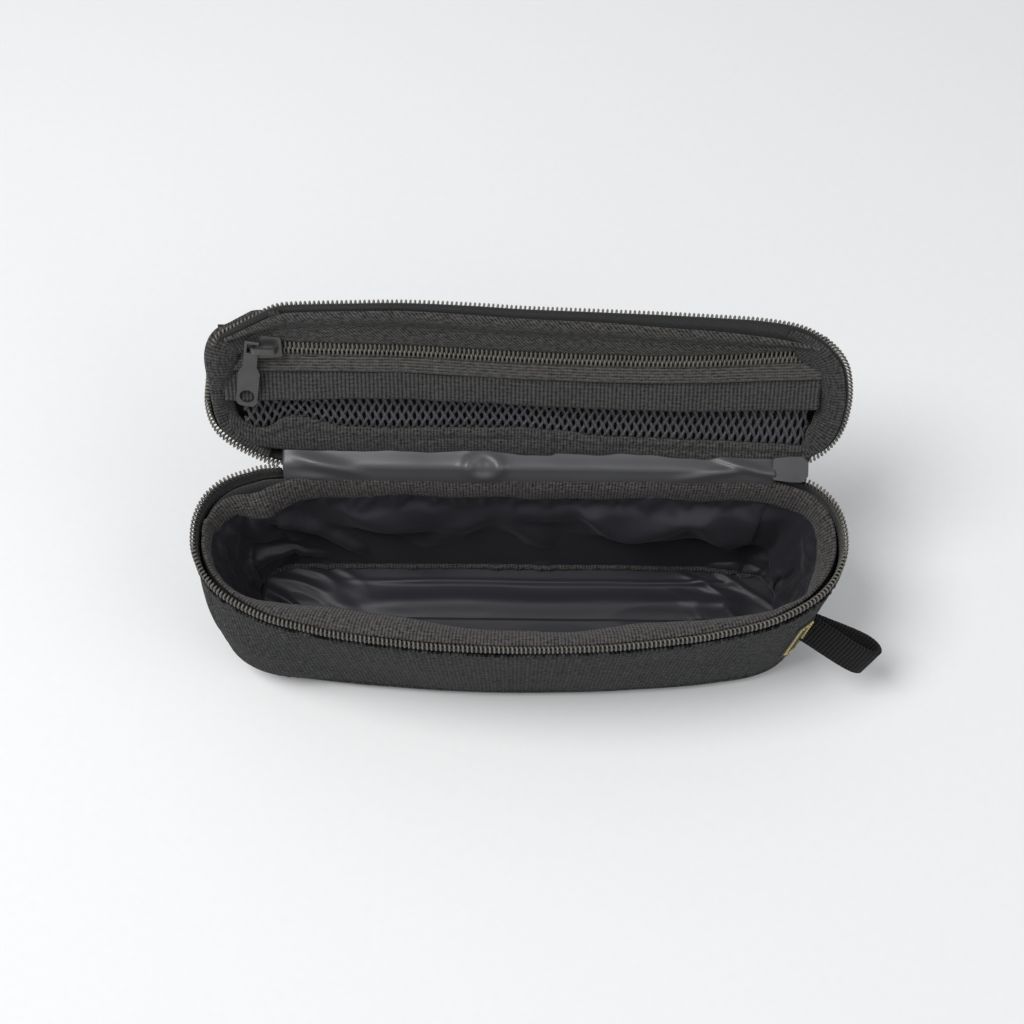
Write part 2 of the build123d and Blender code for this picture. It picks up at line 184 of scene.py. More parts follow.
# Meshes
def build(name, vertices, faces, material, uvs):
    mesh = bpy.data.meshes.new(name)
    mesh.from_pydata((np.asarray(vertices, float) * MM).tolist(), [], faces)
    layer = mesh.uv_layers.new(name="cloth")
    order = np.zeros(len(mesh.loops), int)
    mesh.loops.foreach_get("vertex_index", order)
    layer.data.foreach_set("uv", (np.asarray(uvs, float)[order] * MM).ravel().astype(np.float32))
    mesh.polygons.foreach_set("use_smooth", [True] * len(mesh.polygons))
    mesh.materials.append(material)
    obj = bpy.data.objects.new(name, mesh)
    bpy.context.scene.collection.objects.link(obj)
    return obj


def grid_faces(rows, columns, closed):
    faces = []
    for i in range(rows if closed else rows - 1):
        n = (i + 1) % rows
        for j in range(columns - 1):
            faces.append((i * columns + j, n * columns + j, n * columns + j + 1, i * columns + j + 1))
    return faces


def ring_faces(first, rings, sides):
    """Faces between the rings of a tube whose points start at first."""
    faces = []
    for i in range(rings - 1):
        near, far = first + i * sides, first + (i + 1) * sides
        for j in range(sides):
            k = (j + 1) % sides
            faces.append((near + j, near + k, far + k, far + j))
    return faces


def cloth(name, points, material, thickness, closed=False, flat=None):
    """A sheet through a grid of points, with its weave laid out in mm, or by flat where that is given."""
    rows, columns = points.shape[:2]
    if closed:
        points = np.concatenate([points, points[:1]], 0)
        rows += 1
    if flat is not None:
        uvs = np.concatenate([flat, flat[:1]], 0)
    else:
        across = np.linalg.norm(np.diff(points, axis=1), axis=2)
        u = run_along(points[:, columns // 2])[:, None] * np.ones(columns)
        v = np.concatenate([np.zeros((rows, 1)), np.cumsum(across, 1)], 1)
        uvs = np.stack([u, v], -1)
    faces = grid_faces(rows, columns, False)
    obj = build(name, points.reshape(-1, 3), faces, material, uvs.reshape(-1, 2))
    if closed:
        weld = obj.modifiers.new("weld", "WELD")
        weld.merge_threshold = 1e-6
    thick = obj.modifiers.new("thickness", "SOLIDIFY")
    thick.thickness = thickness * MM
    thick.offset = 0.0
    return obj


def relax(points, grow, cap):
    """Cloth simulation of a closed wall held at both edges: a little spare cloth buckles into folds.

    grow is the share of spare cloth and cap the most that a point may move, in mm. It runs ten times
    too large, which the solver likes, and gives back a plain grid."""
    enlarged, frames = 0.01, 26
    rows, columns = points.shape[:2]
    mesh = bpy.data.meshes.new("cloth_run")
    mesh.from_pydata((points.reshape(-1, 3) * enlarged).tolist(), [], grid_faces(rows, columns, True))
    obj = bpy.data.objects.new("cloth_run", mesh)
    scene = bpy.context.scene
    scene.collection.objects.link(obj)
    held = obj.vertex_groups.new(name="held")
    held.add([i * columns + c for i in range(rows) for c in (0, columns - 1)], 1.0, "REPLACE")
    run = obj.modifiers.new("run", "CLOTH")
    run.settings.quality = 6
    run.settings.mass = 0.15
    run.settings.tension_stiffness = 12
    run.settings.compression_stiffness = 12
    run.settings.shear_stiffness = 4
    run.settings.bending_stiffness = 0.5
    run.settings.shrink_min = -grow
    run.settings.air_damping = 2.0
    run.settings.vertex_group_mass = "held"
    run.settings.effector_weights.gravity = 0.3
    run.point_cache.frame_end = frames
    for step in range(1, frames + 1):
        scene.frame_set(step)
    done = obj.evaluated_get(bpy.context.evaluated_depsgraph_get())
    flat = np.zeros(rows * columns * 3)
    done.data.vertices.foreach_get("co", flat)
    moved = flat.reshape(rows, columns, 3) / enlarged - points
    size = np.linalg.norm(moved, axis=2, keepdims=True)
    moved = moved * np.minimum(1, cap / np.maximum(size, 1e-9))
    bpy.data.objects.remove(obj)
    bpy.data.meshes.remove(mesh)
    scene.frame_set(1)
    return points + moved


def tube(name, line, reference, radii, material, sides):
    """A tube along a line of points. reference is a direction near the tube's side, one per point."""
    t = unit(np.gradient(line, axis=0))
    n = unit(reference - (reference * t).sum(1)[:, None] * t)
    b = np.cross(t, n)
    turn = np.linspace(0, 2 * math.pi, sides, endpoint=False)
    ring = np.cos(turn)[None, :, None] * n[:, None] + np.sin(turn)[None, :, None] * b[:, None]
    points = line[:, None] + ring * np.asarray(radii, float).reshape(-1, 1, 1)
    count = len(line)
    faces = ring_faces(0, count, sides)
    faces.append(tuple(range(sides - 1, -1, -1)))
    faces.append(tuple((count - 1) * sides + j for j in range(sides)))
    uvs = np.stack([np.repeat(run_along(line), sides), np.tile(turn, count)], -1)
    return build(name, points.reshape(-1, 3), faces, material, uvs)


def coil(name, centre, side, up, phase=0.0, reach=1.24, thick=0.31):
    """A wound nylon coil: flattened turns, one a pitch, with a swollen head at the tooth edge."""
    steps, squareness, head = 14, 0.75, 0.06
    run = run_along(centre)
    turns = int(run[-1] / PITCH) - 1
    k = np.arange(turns * steps) / steps
    share = (k + 0.25) % 1.0
    advance = np.floor(k + 0.25) + ease(share, 0.5, 1.0)
    at = (advance + 0.5 + phase) * PITCH
    middle, out, ahead = (read_off(at, run, field) for field in (centre, side, up))
    angle = 2 * math.pi * k
    c, s = np.cos(angle), np.sin(angle)
    flat_c = np.sign(c) * np.abs(c) ** squareness
    flat_s = np.sign(s) * np.abs(s) ** squareness
    line = middle + out * (COIL_HALF_DEPTH * flat_c)[:, None] + ahead * (reach * flat_s)[:, None]
    way = read_off(at, run, unit(np.gradient(centre, axis=0)))
    return tube(name, line, way, thick + head * np.clip(s, 0, 1) ** 2, coil_mat, 6)


def stitches(name, line, normal, material, step, length=2.1, radius=0.2, rise=0.12):
    """A row of short stitches lying on a cloth along a line."""
    run = run_along(line)
    lift = np.array([-0.6, 0.6, 1.0, 0.6, -0.6]) * rise
    thick = np.array([0.45, 0.95, 1.0, 0.95, 0.45]) * radius
    vertices, faces = [], []
    for k in range(int((run[-1] - length) / step)):
        at = k * step + np.linspace(0, length, 5)
        n = read_off(at, run, normal)
        p = read_off(at, run, line) + n * lift[:, None]
        t = p[-1] - p[0]
        t /= np.linalg.norm(t)
        b = np.cross(t, n[2])
        faces += ring_faces(len(vertices), 5, 5)
        for q, m, r in zip(p, n, thick):
            for a in np.linspace(0, 2 * math.pi, 5, endpoint=False):
                vertices.append(q + r * (math.cos(a) * m + math.sin(a) * b))
    return build(name, np.array(vertices), faces, material, np.array(vertices)[:, :2])


# Materials
def node(tree, kind, *values, **settings):
    made = tree.nodes.new(kind)
    for key, value in settings.items():
        setattr(made, key, value)
    for i, value in enumerate(values):
        if value is None:
            continue
        if isinstance(value, bpy.types.NodeSocket):
            tree.links.new(value, made.inputs[i])
        else:
            made.inputs[i].default_value = value
    return made


def maths(tree, operation, *values):
    return node(tree, "ShaderNodeMath", *values, operation=operation).outputs[0]


def scaled(tree, value, factor, more):
    """value times factor, plus more."""
    return maths(tree, "ADD", maths(tree, "MULTIPLY", value, factor), more)


def speckle(tree, place, scale, detail):
    return node(tree, "ShaderNodeTexNoise", place, None, scale, detail).outputs[0]


def new_material(name):
    material = bpy.data.materials.new(name)
    material.use_nodes = True
    tree = material.node_tree
    return material, tree, tree.nodes["Principled BSDF"]


def surface(tree, shader, colour, value, height, strength, depth, rough):
    """A colour dimmed by value, with relief depth mm deep and a roughness."""
    mix = node(tree, "ShaderNodeVectorMath", (*colour,), operation="SCALE")
    tree.links.new(value, mix.inputs["Scale"])
    tree.links.new(mix.outputs[0], shader.inputs["Base Color"])
    bump = node(tree, "ShaderNodeBump")
    bump.inputs["Strength"].default_value = strength
    bump.inputs["Distance"].default_value = depth * MM
    tree.links.new(height, bump.inputs["Height"])
    tree.links.new(bump.outputs[0], shader.inputs["Normal"])
    tree.links.new(rough, shader.inputs["Roughness"])


def woven(
    name, colour, kind, size, roughness, depth,
    tint=0.35, sheen=0.2, mottle=0.18, ratio=1.0, specular=0.3, slub=0.0,
):
    """Cloth of a named weave. size is the yarn spacing in mm and depth the relief in mm."""
    material, tree, shader = new_material(name)
    place = tree.nodes.new("ShaderNodeUVMap")
    place.uv_map = "cloth"
    spot = place.outputs[0]
    parts = node(tree, "ShaderNodeSeparateXYZ", spot)
    wander = speckle(tree, spot, 180.0, 2.0)
    drift = maths(tree, "MULTIPLY", maths(tree, "SUBTRACT", wander, 0.5), 0.9)
    u = scaled(tree, parts.outputs[0], math.pi * 1000 / size, drift)
    v = scaled(tree, parts.outputs[1], math.pi * 1000 / (size * ratio), drift)

    def rib(value):
        return maths(tree, "ABSOLUTE", maths(tree, "SINE", value))

    if kind == "plain":
        height = maths(tree, "MULTIPLY", rib(u), rib(v))
    elif kind == "rib":
        height = scaled(tree, rib(u), 0.8, maths(tree, "MULTIPLY", rib(v), 0.2))
    elif kind == "cross":
        height = scaled(tree, rib(v), 0.8, maths(tree, "MULTIPLY", rib(u), 0.2))
    elif kind == "twill":
        height = rib(maths(tree, "ADD", u, v))
    else:
        zig = maths(tree, "PINGPONG", v, math.pi * 2)
        height = rib(maths(tree, "ADD", u, zig))
    fuzz = speckle(tree, spot, 1700.0, 3.0)
    broad = speckle(tree, spot, 42.0, 4.0)
    relief = maths(tree, "ADD", height, maths(tree, "MULTIPLY", fuzz, 0.9))
    if slub:
        stretched = node(tree, "ShaderNodeVectorMath", spot, (520.0, 1300.0, 1.0), operation="MULTIPLY")
        yarn = speckle(tree, stretched.outputs[0], 1.0, 2.0)
        flecks = maths(tree, "MULTIPLY", maths(tree, "SUBTRACT", yarn, 0.5), 4.0 * slub)
        relief = maths(tree, "ADD", relief, flecks)
    shade = maths(tree, "MAXIMUM", scaled(tree, relief, tint, 1 - tint * 0.95), 0.12)
    value = maths(tree, "MULTIPLY", shade, scaled(tree, broad, mottle * 2, 1 - mottle))
    rough = scaled(tree, broad, 0.16, roughness - 0.08)
    surface(tree, shader, colour, value, relief, 0.85, depth, rough)
    shader.inputs["Sheen Weight"].default_value = sheen
    shader.inputs["Sheen Roughness"].default_value = 0.45
    shader.inputs["Specular IOR Level"].default_value = specular
    return material


def solid(name, colour, roughness, wear, metallic=0.0, grain=900.0, coat=0.0):
    """Moulded or painted material with fine grain, patchy roughness and rubbed colour."""
    material, tree, shader = new_material(name)
    spot = tree.nodes.new("ShaderNodeTexCoord").outputs["Object"]
    fine = speckle(tree, spot, grain, 3.0)
    broad = speckle(tree, spot, 160.0, 4.0)
    value = scaled(tree, broad, wear * 2, 1 - wear)
    rough = scaled(tree, broad, 0.24, roughness - 0.12)
    surface(tree, shader, colour, value, fine, 0.5, 0.02, rough)
    shader.inputs["Metallic"].default_value = metallic
    shader.inputs["Coat Weight"].default_value = coat
    return material


matt = dict(sheen=0.12, specular=0.2)
shell_mat = woven(
    "shell_cloth", (0.030, 0.030, 0.030), "plain", 1.35, 0.88, 0.6,
    tint=2.0, sheen=0.08, slub=0.9, ratio=0.75, specular=0.2,
)
foam_mat = woven("foam", (0.03, 0.03, 0.03), "plain", 1.4, 0.95, 0.1)
satin_mat = woven(
    "satin", (0.022, 0.022, 0.027), "cross", 0.34, 0.48, 0.02,
    tint=0.12, sheen=0.06, mottle=0.08, specular=0.36,
)
# Painted light: the hinge strip's satin is the lining satin made three times lighter and more specular,
# standing in for the light falling on the open strip
lit_satin_mat = woven(
    "satin_strip_painted_light", (0.066, 0.066, 0.070), "cross", 0.34, 0.40, 0.02,
    tint=0.2, sheen=0.1, mottle=0.1, specular=0.5,
)
rim_ribbon_mat = woven(
    "rim_ribbon", (0.050, 0.046, 0.044), "rib", 1.1, 0.9, 0.34, tint=1.5, slub=0.6, **matt
)
ribbon_mat = woven("ribbon", (0.038, 0.036, 0.035), "rib", 1.1, 0.9, 0.34, tint=1.4, slub=0.6, **matt)
tape_mat = woven("zip_tape", (0.022, 0.022, 0.023), "zigzag", 0.9, 0.88, 0.2, tint=0.9, specular=0.2)
near_tape_mat = woven(
    "zip_tape_near", (0.050, 0.048, 0.045), "cross", 1.0, 0.86, 0.26, tint=1.3, slub=0.5, specular=0.2
)
twill_mat = woven("twill", (0.042, 0.040, 0.038), "twill", 1.25, 0.88, 0.34, tint=1.5, slub=0.7, **matt)
band_mat = woven("grosgrain", (0.037, 0.036, 0.035), "rib", 1.3, 0.84, 0.45, tint=1.6, slub=0.3, **matt)
mesh_mat = woven("mesh", (0.050, 0.048, 0.054), "plain", 0.6, 0.42, 0.08, tint=0.4, specular=0.8)
web_mat = woven(
    "webbing", (0.009, 0.009, 0.0095), "rib", 1.3, 0.85, 0.5, tint=2.6, sheen=0.03, specular=0.15
)
patch_mat = woven("patch", (0.010, 0.010, 0.011), "twill", 0.5, 0.75, 0.1, tint=0.4)
thread_mat = woven("thread", (0.030, 0.029, 0.028), "plain", 0.3, 0.75, 0.05)
gold_mat = woven("gold_thread", (0.60, 0.50, 0.17), "plain", 0.3, 0.5, 0.05, specular=0.5)
coil_mat = solid("zip_coil", (0.125, 0.117, 0.100), 0.36, 0.35, grain=1500.0)
plain_metal = solid("slider_plain", (0.066, 0.066, 0.071), 0.44, 0.12, metallic=0.35)
dark_metal = solid("slider_dark", (0.085, 0.083, 0.081), 0.33, 0.35, metallic=0.6, coat=0.25)


def dress(obj, body, slot, *nodes):
    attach(obj, body)
    if nodes:
        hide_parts(*nodes)


# Tub
def tub_at(depth, z, rows=slice(None)):
    """Wall points inward of the outer outline, where each has its own depth and height."""
    t = np.clip(z / RIM, 0, 1)[..., None]
    plan = foot[rows][:, None] * (1 - t) + mouth[rows][:, None] * t
    plan = plan - mouth_out[rows][:, None] * depth[..., None]
    return np.concatenate([plan, np.broadcast_to(z, plan.shape[:2])[..., None]], -1)


def tub_wall(depth, heights, rows=slice(None)):
    """Grid of wall points at given heights, turned in to the foot at the bottom."""
    z = np.asarray(heights, float)[None, :]
    up_round = np.clip(FOOT_ROUND - z, 0, FOOT_ROUND)
    turn_in = FOOT_ROUND - np.sqrt(np.clip(FOOT_ROUND**2 - up_round**2, 0, FOOT_ROUND**2))
    grid = (len(mouth[rows]), z.shape[1])
    return tub_at(np.broadcast_to(np.asarray(depth, float), grid) + turn_in, z, rows)


def filled(loop, z, rings=14):
    """Rings from an outline in to a middle line, at a height."""
    half_length, middle_y = 70.0, -3.0
    spine_x = np.clip(loop[:, 0], -half_length, half_length)
    spine = np.stack([spine_x, np.full(len(loop), middle_y)], 1)
    r = np.linspace(1, 0.001, rings)[None, :, None]
    plan = spine[:, None] + (loop[:, None] - spine[:, None]) * r
    return np.concatenate([plan, np.full(plan.shape[:2], z)[..., None]], -1)


# Outer cloth: slack weave, seams pressed in and a bulge at the left end
u_run = np.arange(AROUND) / AROUND * WALL_GIRTH
heights = np.r_[0.5, 0.9, 1.6, 2.8, 4.4, np.linspace(6.5, 54.8, 34)]
slack = wave(u_run[:, None], heights[None] * 1.4, 46, 3.1) * 1.1
slack = slack + wave(u_run[:, None], heights[None] * 2.2, 17, 8.4) * 0.35
slack = slack * ease(heights, 2, 12)[None] * (1 - 0.6 * ease(heights, 46, 54.8))[None]
seam_dip = 0.5 * bell(heights - 6.5, 0.9)[None]
side_seam = bell(mouth_y + 12.5, 0.9)[:, None] * 0.5
bulge_up = ease(heights, 1, 13) * (1 - ease(heights, 24, 54))
bulge = 4.4 * ease(-mouth_x, 62, 98)[:, None] * bulge_up[None]
shell_points = tub_wall(-1.0 + slack + seam_dip + side_seam - bulge, heights)

front_rows = np.where(mouth_y < -12.0)[0]
back_rows = np.r_[np.arange(front_rows[-1], AROUND), np.arange(0, front_rows[0] + 1)]
foot_columns = 6
front_shell = cloth("tub_front", shell_points[front_rows, foot_columns - 1 :], shell_mat, 0.9)
dress(front_shell, "tub", "shell_cloth", "tub_front_panel")
back_shell = cloth("tub_back", shell_points[back_rows][:, foot_columns - 1 :], shell_mat, 0.9)
dress(back_shell, "tub", "shell_cloth", "tub_back_panel")

turned_up = shell_points[:, foot_columns - 1 :: -1]
base = np.concatenate([turned_up, filled(shell_points[:, 0, :2], 0.5)[:, 1:]], 1)
base_flat = base[..., :2].copy()
base_flat[:, :foot_columns] += mouth_out[:, None] * turned_up[..., 2:]
base_piece = cloth("tub_base", base, shell_mat, 0.9, closed=True, flat=base_flat)
dress(base_piece, "tub", "shell_cloth", "tub_base_panel")

padding = cloth("tub_padding", tub_wall(1.8, np.linspace(4, 54, 10)), foam_mat, 1.2, closed=True)
dress(padding, "tub", "foam", "tub_wall_padding")
pad_outline = tub_wall(3.0, [2.4])[:, 0, :2]
base_pad = cloth("tub_base_pad", filled(pad_outline, 2.4), foam_mat, 1.8, closed=True)
dress(base_pad, "tub", "foam", "tub_base_padding")

# How far the rim binding flops inward: most along the front, nothing at the left end
front_share = ease(-mouth_y, 15, 31)
right_share = ease(mouth_x, 92, 103) * (1 - ease(np.abs(mouth_y), 9, 22))
left_share = ease(-mouth_x, 94, 102)
rear_share = ease(mouth_y, 8, 22)
flop = 0.3 + 1.0 * rear_share + 2.6 * right_share
flop = flop + front_share * (6.0 + 2.8 * bell(mouth_x + 56, 24) - 1.4 * bell(mouth_x - 74, 16))
pull_away = bell(mouth_x + 90, 12) * (mouth_y > 10)
flop = flop + 2.8 * pull_away + wave(u_run, 0, 26, 2.2) * (0.6 + 0.9 * front_share)
top_depth = 2.6 + 4.6 * pull_away - 1.15 * front_share
droop = 8.8 - 4.6 * front_share - 1.0 * right_share + wave(u_run, 5, 22, 4.4) * 1.6 - 1.6 * left_share
v = np.linspace(0, 1, 12)[None]
ribbon_z = 57.2 + wave(u_run, 9, 21, 6.6)[:, None] * 0.6 - droop[:, None] * v
arch = np.sin(math.pi * v)
ribbon_z = ribbon_z + arch * (0.3 + 1.2 * front_share)[:, None]
ribbon_depth = top_depth[:, None] + flop[:, None] * v + arch * (0.8 * (1 - front_share))[:, None]
crumple = wave(u_run[:, None], v * 9, 10, 1.7) * 0.4
crumple = crumple + wave(u_run[:, None] * 1.3, v * 5, 5, 1.9) * (0.25 + 0.5 * left_share)[:, None]
ribbon_depth = ribbon_depth + crumple * np.sin(math.pi * np.clip(v, 0.1, 0.9))


def rolled_edge(depth, z):
    """Carries a strip's profile on round a small roll under its last edge."""
    radius, steps = 0.75, 6
    way = unit(np.stack([depth[:, -1] - depth[:, -3], z[:, -1] - z[:, -3]], 1))
    under = np.stack([way[:, 1], -way[:, 0]], 1)
    turn = np.linspace(0, 1.1 * math.pi, steps + 1)[None, 1:, None]
    more = radius * (np.sin(turn) * way[:, None] + (1 - np.cos(turn)) * under[:, None])
    return (
        np.concatenate([depth, depth[:, -1:] + more[..., 0]], 1),
        np.concatenate([z, z[:, -1:] + more[..., 1]], 1),
    )


rim_points = tub_at(*rolled_edge(ribbon_depth, ribbon_z))
dress(cloth("rim_ribbon", rim_points, rim_ribbon_mat, 0.9, closed=True), "tub", "ribbon", "tub_rim_ribbon")

# Satin lining: from under the binding down to the floor, in soft folds
down = np.linspace(0, 1, 34)[None]
top_z = ribbon_z[:, -1:] + 0.6
wall_z = top_z * (1 - down) + 4.6 * down
hang = (ribbon_depth[:, -1:] + 0.4) * (1 - ease(down, 0.0, 0.6)) + 4.6 * ease(down, 0.0, 0.6)
shape = ease(down, 0.02, 0.16) * (1 - 0.8 * ease(down, 0.84, 1.0))


def fold(a, b, start, end, width, size):
    """A soft ridge along a straight line of a wall, thinning out at both ends."""
    ax, ay = start
    run = np.array(end, float) - start
    length = float(np.linalg.norm(run))
    along = ((a - ax) * run[0] + (b - ay) * run[1]) / length
    off = np.abs((a - ax) * run[1] - (b - ay) * run[0]) / length
    return size * bell(off, width) * ease(along, -4, 8) * (1 - ease(along, length - 8, length + 4))


# Folds: start and end as x and height, width and size. Swags: x, half width, size and lower edge
rear_folds = [
    ((-90, 50), (-58, 14), 3.4, 3.6), ((-62, 46), (-34, 26), 6.0, 2.0), ((-38, 20), (-8, 40), 4.5, 2.2),
    ((-8, 40), (14, 18), 5.0, 2.4), ((20, 48), (34, 30), 3.0, 2.6), ((34, 30), (62, 44), 5.0, 2.8),
    ((60, 46), (84, 16), 4.2, 3.0), ((-100, 20), (-70, 12), 3.0, 2.0),
]
swags = [(52, 30, 5.2, 24), (-46, 26, 4.6, 28), (6, 15, 3.4, 34), (84, 12, 3.6, 20)]
folds = np.clip(creases(u_run[:, None] * 0.7 + wall_z * 0.5, wall_z * 1.2, 27, 5.5), -0.3, 1.2)
for place in rear_folds:
    folds = folds + fold(mouth_x[:, None], wall_z, *place) * rear_share[:, None]
for middle_x, half_width, size, lower in swags:
    side = bell(mouth_x[:, None] - middle_x, half_width) * rear_share[:, None]
    lower_edge = lower + 3.0 * wave(mouth_x, 1, 19, 12.0)[:, None]
    folds = folds + size * side * ease(wall_z, lower_edge, lower_edge + 7) * (1 - 0.7 * ease(wall_z, 38, 52))
ends_share = (1 - rear_share) * (1 - front_share)
end_folds = np.clip(creases(u_run[:, None] * 1.4, wall_z * 0.7, 14, 5.9), 0, 1.1)
folds = folds + ends_share[:, None] * end_folds * 2.2
lining_points = tub_at(hang + folds * shape, wall_z)
loose = relax(lining_points[::2], 0.045, 2.6)
lining_points[0::2] = loose
lining_points[1::2] = (loose + np.roll(loose, -1, 0)) / 2
share_up = np.clip(lining_points[..., 2:] / RIM, 0, 1)
wall_plan = foot[:, None] * (1 - share_up) + mouth[:, None] * share_up
depth_now = ((wall_plan - lining_points[..., :2]) * mouth_out[:, None]).sum(2)
too_far_out = np.clip(LINING_LEAST_DEPTH - depth_now, 0, None)
lining_points[..., :2] -= mouth_out[:, None] * too_far_out[..., None]
lining = cloth("tub_lining", lining_points, satin_mat, 0.4, closed=True)
lining.modifiers.new("smooth", "SUBSURF").levels = 1
dress(lining, "tub", "lining", "tub_lining_wall")

# Floor lining: a crest along it, fine creases, puckered ends and a tuck before the rear wall
floor_points = filled(lining_points[:, -1, :2], FLOOR_Z, rings=34)
fx, fy = floor_points[..., 0], floor_points[..., 1]
middle = ease(24 - np.abs(fy + 3), 1, 8)
crest_y = 3.2 + 1.6 * wave(fx, 0, 40, 7.7)
floor_points[..., 2] += 2.2 * bell(fy - crest_y, 3.8) * ease(fx, -66, -40) * (1 - ease(fx, 74, 88))
floor_points[..., 2] += np.clip(creases(fx * 0.2, fy * 1.1, 11, 7.5), 0, 1) * 0.5 * middle
end_creases = np.clip(creases(fx + fy * 1.4, fy, 13, 9.5), 0, 1)
floor_points[..., 2] += end_creases * 1.8 * ease(np.abs(fx), 48, 72) * middle
tuck = bell(fy - 11.6 - 0.5 * wave(fx, 2, 30, 7.9), 0.8) * ease(fx, -70, -30) * (1 - ease(fx, 66, 82))
floor_points[..., 2] += 1.5 * tuck
floor_flat = floor_points[..., :2]
floor_lining = cloth("floor_lining", floor_points, satin_mat, 0.3, closed=True, flat=floor_flat)
dress(floor_lining, "tub", "lining", "tub_lining_base")

seam_line = lining_points[:, -2].copy()
seam_line[:, :2] -= mouth_out * 0.6
seam_closed = np.vstack([seam_line, seam_line[:1]])
upward = np.tile([0, 0, 1.0], (AROUND + 1, 1))
floor_seam = tube("floor_seam", seam_closed, upward, 0.9, ribbon_mat, 8)
dress(floor_seam, "tub", "ribbon", "tub_floor_seam")


# Zipper round the mouth, from the left end of the hinge round the front to a place on the right
def off_hinge(right_x):
    return run_between(~((mouth_y > 20) & (mouth_x > -78.8) & (mouth_x < right_x)))


chain_rows = off_hinge(94.0)
tape_points = tub_wall(0.15, np.linspace(53.2, CHAIN_Z, 6), off_hinge(85.0))
dress(cloth("main_tape_tub", tape_points, tape_mat, 0.6), "tub", "zip_tape", "main_tape_lower")

seam_side = np.c_[mouth_out, np.zeros(AROUND)]
chain_line = np.c_[mouth, np.full(AROUND, CHAIN_Z)][chain_rows]
low_coil = coil("main_coil_tub", chain_line, seam_side[chain_rows], upward[: len(chain_rows)])
dress(low_coil, "tub", "zip_coil", "main_chain_lower")

hem_line = tub_wall(-1.5, [52.8])[chain_rows, 0]
rim_thread = stitches(
    "rim_stitches", hem_line, seam_side[chain_rows], thread_mat, 2.8, radius=0.15, rise=0.2
)
dress(rim_thread, "tub", "shell_cloth")
foot_line = tub_wall(-1.4 + slack[:, 5:6] - bulge[:, 6:7], [8.2])[:, 0]
dress(stitches("foot_stitches", foot_line, seam_side, thread_mat, 3.2), "tub", "shell_cloth")


# Lid, each place given by x, distance from the hinge and height behind the chain
def lid_way(x, s, h):
    return lid(x, s, h) - lid(0, 0, 0)


flat_loop = smooth_line([(x, -s) for x, s in lid_rim], AROUND, True)
lid_loop = flat_loop * [1, -1]
lid_out = outward(flat_loop) * [1, -1]
loop_x, loop_s = lid_loop[:, 0], lid_loop[:, 1]
far_side = ease(loop_s, 36, 55)
right_end = ease(loop_x, 90, 103)
left_end = ease(-loop_x, 88, 99)
flare = np.radians(4 + 68 * far_side + 26 * right_end * (1 - far_side))[:, None]
back_way = np.tile(lid_way(0, 0, 1), (AROUND, 1))
out_way = lid_way(lid_out[:, 0], lid_out[:, 1], 0)
tooth_way = np.sin(flare) * out_way - np.cos(flare) * back_way
coil_way = np.cos(flare) * out_way + np.sin(flare) * back_way
rim_centre = lid(loop_x, loop_s, CHAIN_BACK)


def rim_place(along_tooth, sideways):
    """Points fixed to the flared rim, mm along the teeth and to the coil's outer side."""
    a = np.broadcast_to(np.asarray(along_tooth, float), (AROUND,))[:, None]
    b = np.broadcast_to(np.asarray(sideways, float), (AROUND,))[:, None]
    return rim_centre + a * tooth_way + b * coil_way


def shoulder(start, knee, inset, depth, columns):
    """A wall that curves from the rim round into the crown of the lid."""
    end_flat = lid_loop - lid_out * inset[:, None]
    end = lid(end_flat[:, 0], end_flat[:, 1], depth)
    before = end + 3.6 * out_way
    t = np.linspace(0, 1, columns)[None, :, None]
    a, b, c, d = (p[:, None] for p in (start, knee, before, end))
    return a * (1 - t) ** 3 + 3 * b * t * (1 - t) ** 2 + 3 * c * t**2 * (1 - t) + d * t**3, end_flat


def crown(loop_flat, depth, rings, puff):
    """Rings across the lid from its crown edge to its middle line."""
    half_length, middle_s = 72, 29.0
    spine_x = np.clip(loop_flat[:, 0], -half_length, half_length)
    spine = np.stack([spine_x, np.full(AROUND, middle_s)], 1)
    r = np.linspace(1, 0.001, rings)[None, 1:, None]
    flat = spine[:, None] + (loop_flat[:, None] - spine[:, None]) * r
    x, s, r = flat[..., 0], flat[..., 1], r[..., 0]
    return lid(x, s, depth + (1 - r**2) * puff + wave(x, s, 34, 14.2) * 0.7 * (1 - r))


inset = 4.2 + 6.0 * far_side + 1.2 * left_end
slack_out = wave(u_run, 0, 38, 11.1) * 0.5
wall_start = rim_place(-3.2, 0.9)
wall_knee = rim_place(-7.6 + 0.8 * far_side, 1.7 + slack_out)
side_points, crown_loop = shoulder(wall_start, wall_knee, inset, LID_DEPTH, 18)
side_columns = 8
lid_side = cloth("lid_side", side_points[:, :side_columns], shell_mat, 0.9, closed=True)
dress(lid_side, "lid", "shell_cloth", "lid_side_band")
crown_points = crown(crown_loop, LID_DEPTH, 18, 1.0)
lid_top_points = np.concatenate([side_points[:, side_columns - 1 :], crown_points], 1)
from_hinge = lid_top_points - lid(0, 0, 0)
top_s = from_hinge @ np.array([0, math.sin(LEAN), math.cos(LEAN)])
top_h = from_hinge @ np.array([0, math.cos(LEAN), -math.sin(LEAN)])
fall = np.clip(LID_DEPTH - top_h, 0, None)[..., None]
top_flat = np.stack([from_hinge[..., 0], top_s], -1) + lid_out[:, None] * fall
lid_top = cloth("lid_top", lid_top_points, shell_mat, 0.9, closed=True, flat=top_flat)
dress(lid_top, "lid", "shell_cloth", "lid_top_panel")

pad_loop = lid_loop - lid_out * (inset + 0.6)[:, None]
pad_depth = LID_DEPTH - 1.9
pad_edge = lid(pad_loop[:, 0], pad_loop[:, 1], pad_depth)[:, None]
pad_points = np.concatenate([pad_edge, crown(pad_loop, pad_depth, 10, 0.8)], 1)
lid_pad = cloth("lid_padding_sheet", pad_points, foam_mat, 1.2, closed=True)
dress(lid_pad, "lid", "foam", "lid_padding")

